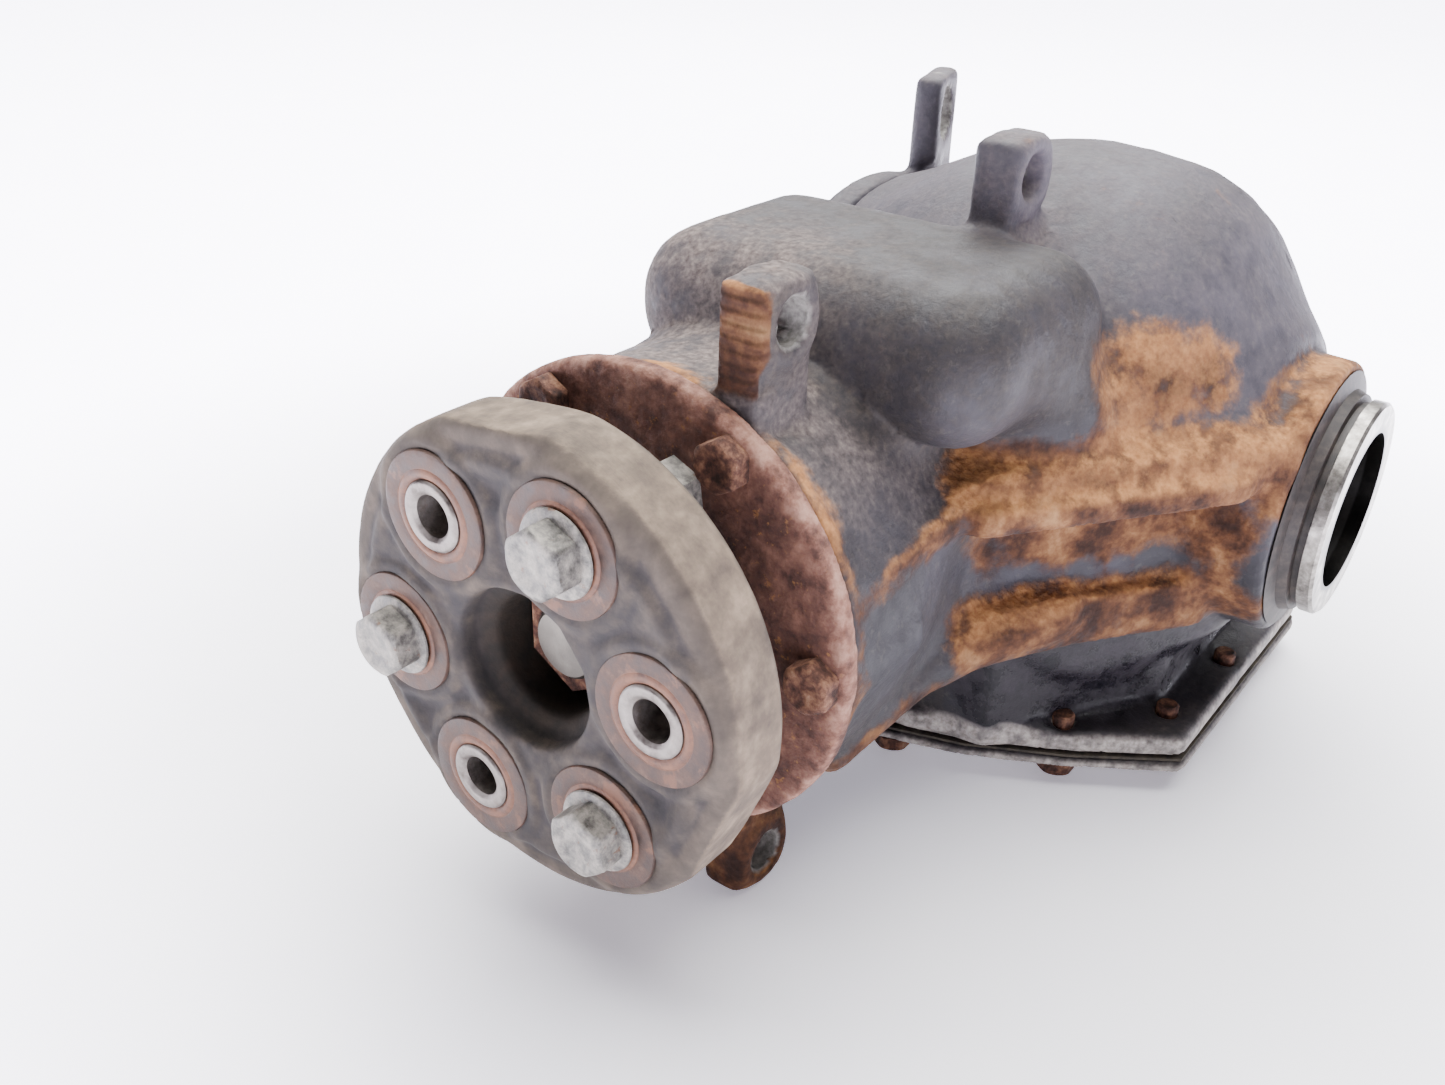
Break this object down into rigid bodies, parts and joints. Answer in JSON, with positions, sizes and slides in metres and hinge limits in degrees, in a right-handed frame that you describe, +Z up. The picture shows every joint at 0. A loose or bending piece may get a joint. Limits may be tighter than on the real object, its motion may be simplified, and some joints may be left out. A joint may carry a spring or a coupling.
{
  "type": "differential gear assembly",
  "caption": "Final-drive differential: cast housing with mounting ears, bevel ring and pinion, spider gears, side output bores and a rubber disc coupling on the input flange.",
  "frame": {"origin": "centre of the rubber coupling's propshaft face, on the pinion axis", "axes": "+X along the pinion axis, out of the input coupling; +Y along the axle axis, out of the right output; +Z up"},
  "size_m": [0.377, 0.2607, 0.223],
  "materials": {
    "cast_housing": "worn blue-grey paint with rust and road dust",
    "cast_cover": "worn paint with rust",
    "cast_aluminium": "dull, oxidised",
    "gasket": "matte sealing sheet",
    "zinc_bolts": "dull zinc",
    "rusty_bolts": "rusty",
    "rusty_plate": "heavily rusted",
    "seal_rubber": "matte",
    "machined_collar": "machined, stained",
    "bearing_steel": "ground",
    "gear_steel": "oiled",
    "cast_case": "oiled casting",
    "copper_washer": "dull copper",
    "bronze_washer": "dull bronze",
    "coupling_rubber": "dusty",
    "sleeve_steel": "worn bright steel",
    "end_plate_steel": "rusted pressed steel",
    "coupling_bolt_zinc": "weathered zinc",
    "forged_flange": "rusted forging"
  },
  "bodies": {
    "housing": {"bottom_cover": "cast_aluminium", "breather": "zinc_bolts", "cover_bolts": "zinc_bolts", "cover_gasket": "gasket", "drain_plug": "zinc_bolts", "drain_plug_washer": "copper_washer", "fill_plug": "zinc_bolts", "fill_plug_washer": "copper_washer", "front_cover": "rusty_plate", "front_cover_bolts": "rusty_bolts", "housing": "cast_housing", "left_carrier_cup": "bearing_steel", "left_carrier_shim": "bearing_steel", "left_cover_bolts": "rusty_bolts", "left_cover_seal_ring": "seal_rubber", "left_oil_seal": "seal_rubber", "left_side_cover": "cast_cover", "pinion_front_cup": "bearing_steel", "pinion_head_cup": "bearing_steel", "pinion_oil_seal": "seal_rubber", "pinion_shim": "bearing_steel", "right_axle_collar": "machined_collar", "right_carrier_cup": "bearing_steel", "right_carrier_shim": "bearing_steel", "right_oil_seal": "seal_rubber"},
    "pinion": {"coupling_bolts": "coupling_bolt_zinc", "coupling_end_plates": "end_plate_steel", "coupling_nuts": "coupling_bolt_zinc", "coupling_sleeves": "sleeve_steel", "crush_sleeve": "gear_steel", "flex_coupling": "coupling_rubber", "input_flange": "forged_flange", "pinion_front_cone": "bearing_steel", "pinion_front_rollers": "bearing_steel", "pinion_head_cone": "bearing_steel", "pinion_head_rollers": "bearing_steel", "pinion_nut": "rusty_bolts", "pinion_shaft": "gear_steel"},
    "carrier": {"carrier_case": "cast_case", "cross_pin": "gear_steel", "cross_pin_lock": "gear_steel", "left_carrier_cone": "bearing_steel", "left_carrier_rollers": "bearing_steel", "right_carrier_cone": "bearing_steel", "right_carrier_rollers": "bearing_steel", "ring_gear": "gear_steel", "ring_gear_bolts": "zinc_bolts", "side_thrust_washers": "bronze_washer", "spider_thrust_washers": "bronze_washer"},
    "left_output_gear": {"left_side_gear": "gear_steel"},
    "right_output_gear": {"right_side_gear": "gear_steel"},
    "spider_upper": {"upper_spider_gear": "gear_steel"},
    "spider_lower": {"lower_spider_gear": "gear_steel"}
  },
  "joints": [
    {"name": "carrier_spin", "type": "hinge", "parent": "housing", "child": "carrier", "pos_m": [-0.253, 0, 0], "axis": [0, 1, 0], "continuous": true},
    {"name": "pinion_spin", "type": "hinge", "parent": "housing", "child": "pinion", "pos_m": [-0.253, 0, 0], "axis": [1, 0, 0], "continuous": true},
    {"name": "left_output_spin", "type": "hinge", "parent": "carrier", "child": "left_output_gear", "pos_m": [-0.253, 0, 0], "axis": [0, 1, 0], "continuous": true},
    {"name": "right_output_spin", "type": "hinge", "parent": "carrier", "child": "right_output_gear", "pos_m": [-0.253, 0, 0], "axis": [0, 1, 0], "continuous": true},
    {"name": "upper_spider_spin", "type": "hinge", "parent": "carrier", "child": "spider_upper", "pos_m": [-0.253, 0, 0], "axis": [0, 0, 1], "continuous": true},
    {"name": "lower_spider_spin", "type": "hinge", "parent": "carrier", "child": "spider_lower", "pos_m": [-0.253, 0, 0], "axis": [0, 0, 1], "continuous": true}
  ],
  "couplings": [
    {"joint": "pinion_spin", "follows": "carrier_spin", "ratio": -3.0833},
    {"joint": "right_output_spin", "follows": "left_output_spin", "ratio": -1},
    {"joint": "upper_spider_spin", "follows": "left_output_spin", "ratio": 1.6},
    {"joint": "lower_spider_spin", "follows": "left_output_spin", "ratio": -1.6}
  ]
}
